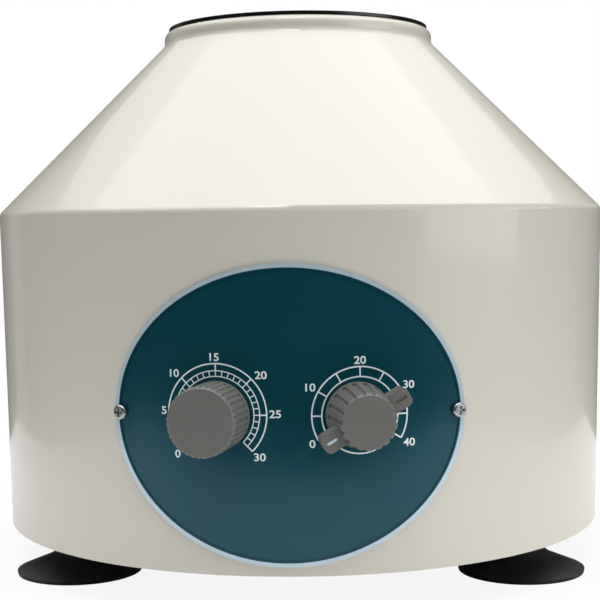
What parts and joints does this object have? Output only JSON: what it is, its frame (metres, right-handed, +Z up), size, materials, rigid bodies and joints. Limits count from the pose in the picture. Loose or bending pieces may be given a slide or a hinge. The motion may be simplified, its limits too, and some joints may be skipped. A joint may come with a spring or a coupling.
{
  "type": "bench centrifuge",
  "caption": "Round bench centrifuge: sheet housing with a conical top, hinged lid over a fixed-angle tube rotor, oval panel with timer and speed knobs, suction feet.",
  "frame": {"origin": "on the bench, under the rotor's axis, in the plane of the suction feet's rims", "axes": "+Z up along the rotor's axis; +Y to the back, where the hinge and the mains inlet are; the knobs face -Y; +X to the right as the knobs are faced"},
  "size_m": [0.27, 0.2922, 0.2435],
  "materials": {
    "cream_paint": "glossy cream stove enamel",
    "panel": "printed dark teal field with a bright rim",
    "bright_steel": "zinc-plated",
    "steel_sheet": "plain sheet",
    "black_rubber": "matt",
    "knob_grey": "moulded dark grey",
    "black_lid": "moulded black",
    "bowl_metal": "spun",
    "rotor_metal": "cast and turned",
    "sleeve_metal": "anodised",
    "shaft_steel": "ground",
    "motor_paint": "grey",
    "core_iron": "stacked laminations",
    "copper": "enamelled copper wire",
    "carbon": "pressed carbon",
    "brass": "drawn",
    "black_plastic": "moulded",
    "board_green": "glass-fibre board",
    "board_grey": "moulded",
    "fan_plastic": "moulded"
  },
  "bodies": {
    "base": {"housing": "cream_paint", "control_plate": "panel", "panel_screws": "bright_steel", "base_plate": "steel_sheet", "case_screws": "bright_steel", "suction_feet": "black_rubber", "foot_screws": "bright_steel", "chamber_bowl": "bowl_metal", "bowl_trim": "black_rubber", "bowl_posts": "bright_steel", "post_screws": "bright_steel", "shaft_boot": "black_rubber", "motor_bracket": "steel_sheet", "motor_mounts": "black_rubber", "mount_screws": "bright_steel", "lower_shield": "rotor_metal", "leg_screws": "bright_steel", "motor_can": "motor_paint", "upper_shield": "rotor_metal", "ball_bearings": "shaft_steel", "field_core": "core_iron", "field_coils": "copper", "brush_holders": "brass", "carbon_brushes": "carbon", "through_bolts": "bright_steel", "hinge_bracket": "bright_steel", "hinge_pin": "shaft_steel", "hinge_nuts": "bright_steel", "timer_movement": "board_grey", "speed_potentiometer": "board_grey", "bushing_nuts": "bright_steel", "mains_inlet": "black_plastic", "inlet_pins": "brass", "power_switch": "black_plastic", "speed_board": "board_green", "board_parts": "board_grey"},
    "rotor": {"rotor_head": "rotor_metal", "rotor_nut": "bright_steel", "motor_shaft": "shaft_steel", "armature_core": "core_iron", "armature_winding": "copper", "commutator": "copper", "cooling_fan": "fan_plastic", "tube_cushions": "black_rubber", "tube_sleeve_1": "sleeve_metal", "tube_sleeve_2": "sleeve_metal", "tube_sleeve_3": "sleeve_metal", "tube_sleeve_4": "sleeve_metal", "tube_sleeve_5": "sleeve_metal", "tube_sleeve_6": "sleeve_metal", "tube_sleeve_7": "sleeve_metal", "tube_sleeve_8": "sleeve_metal"},
    "lid": {"lid": "black_lid", "lid_seal": "black_rubber"},
    "timer_control": {"timer_knob": "knob_grey", "timer_spindle": "brass"},
    "speed_control": {"speed_knob": "knob_grey", "speed_spindle": "brass"},
    "rocker": {"power_rocker": "black_plastic"},
    "fuse_drawer": {"fuse_drawer": "black_plastic"}
  },
  "joints": [
    {"name": "lid_hinge", "type": "hinge", "parent": "base", "child": "lid", "pos_m": [0, 0.067, 0.2383], "axis": [-1, 0, 0], "range_deg": [0, 100]},
    {"name": "rotor_spin", "type": "hinge", "parent": "base", "child": "rotor", "pos_m": [0, 0, 0.2], "axis": [0, 0, 1], "continuous": true},
    {"name": "timer_turn", "type": "hinge", "parent": "base", "child": "timer_control", "pos_m": [-0.02605, -0.13211, 0.077], "axis": [0.1935, 0.9811, 0], "range_deg": [0, 270]},
    {"name": "speed_turn", "type": "hinge", "parent": "base", "child": "speed_control", "pos_m": [0.02605, -0.13211, 0.077], "axis": [-0.1935, 0.9811, 0], "range_deg": [0, 240]},
    {"name": "rocker_tilt", "type": "hinge", "parent": "base", "child": "rocker", "pos_m": [0.05578, 0.11961, 0.075], "axis": [0.9063, -0.4226, 0], "range_deg": [0, 20]},
    {"name": "drawer_slide", "type": "slide", "parent": "base", "child": "fuse_drawer", "axis": [0, 1, 0], "range_m": [0, 0.016]}
  ]
}
